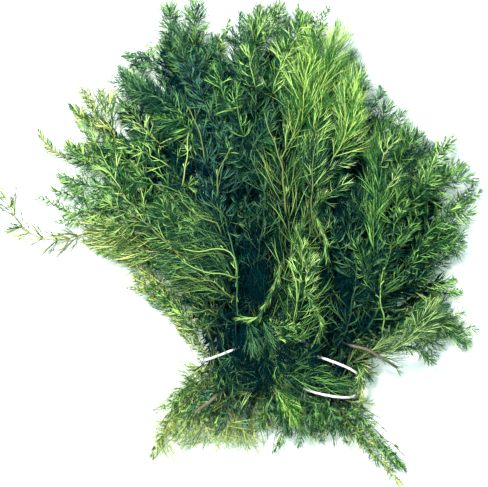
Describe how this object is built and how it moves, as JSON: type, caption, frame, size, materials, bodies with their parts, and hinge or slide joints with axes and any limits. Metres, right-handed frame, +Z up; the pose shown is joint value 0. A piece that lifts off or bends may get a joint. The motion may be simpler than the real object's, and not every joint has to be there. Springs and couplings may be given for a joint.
{
  "type": "hornwort bunch",
  "caption": "Bunch of fresh hornwort, a feathery water plant, in two halves tied with rubber bands, lying flat with its tips fanned out.",
  "frame": {"origin": "on the surface that the bunch lies on, below the middle of its outline", "axes": "+Z up from the surface; +Y from the cut feet towards the growing tips; +X across the bunch, to the right as seen from above with the tips at the top"},
  "size_m": [0.3164, 0.3174, 0.0499],
  "materials": {
    "foliage_deep": "wet dark green leaves",
    "foliage_mid": "wet green leaves",
    "foliage_light": "wet yellow-green leaves",
    "band": "matt white rubber"
  },
  "bodies": {
    "root": {"left_sprig_01": "foliage_deep", "left_sprig_02": "foliage_deep", "left_sprig_03": "foliage_deep", "left_sprig_04": "foliage_deep", "left_sprig_05": "foliage_deep", "left_sprig_06": "foliage_deep", "left_sprig_07": "foliage_deep", "left_sprig_08": "foliage_deep", "left_sprig_09": "foliage_deep", "left_sprig_10": "foliage_deep", "left_sprig_11": "foliage_deep", "left_sprig_12": "foliage_deep", "left_sprig_13": "foliage_deep", "left_sprig_14": "foliage_mid", "left_sprig_15": "foliage_mid", "left_sprig_16": "foliage_mid", "left_sprig_17": "foliage_mid", "left_sprig_18": "foliage_mid", "left_sprig_19": "foliage_mid", "left_sprig_20": "foliage_mid", "left_sprig_21": "foliage_mid", "left_sprig_22": "foliage_mid", "left_sprig_23": "foliage_mid", "left_sprig_24": "foliage_light", "left_sprig_25": "foliage_light", "left_sprig_26": "foliage_light", "left_sprig_27": "foliage_light", "right_sprig_01": "foliage_deep", "right_sprig_02": "foliage_deep", "right_sprig_03": "foliage_deep", "right_sprig_04": "foliage_deep", "right_sprig_05": "foliage_deep", "right_sprig_06": "foliage_deep", "right_sprig_07": "foliage_deep", "right_sprig_08": "foliage_deep", "right_sprig_09": "foliage_deep", "right_sprig_10": "foliage_mid", "right_sprig_11": "foliage_mid", "right_sprig_12": "foliage_mid", "right_sprig_13": "foliage_mid", "right_sprig_14": "foliage_mid", "right_sprig_15": "foliage_mid", "right_sprig_16": "foliage_mid", "right_sprig_17": "foliage_mid", "shoot_01": "foliage_mid", "shoot_02": "foliage_mid", "shoot_03": "foliage_mid", "shoot_04": "foliage_mid", "shoot_05": "foliage_mid", "shoot_06": "foliage_mid", "shoot_07": "foliage_mid", "shoot_08": "foliage_mid", "shoot_09": "foliage_mid", "left_band": "band", "right_band": "band"}
  },
  "joints": []
}
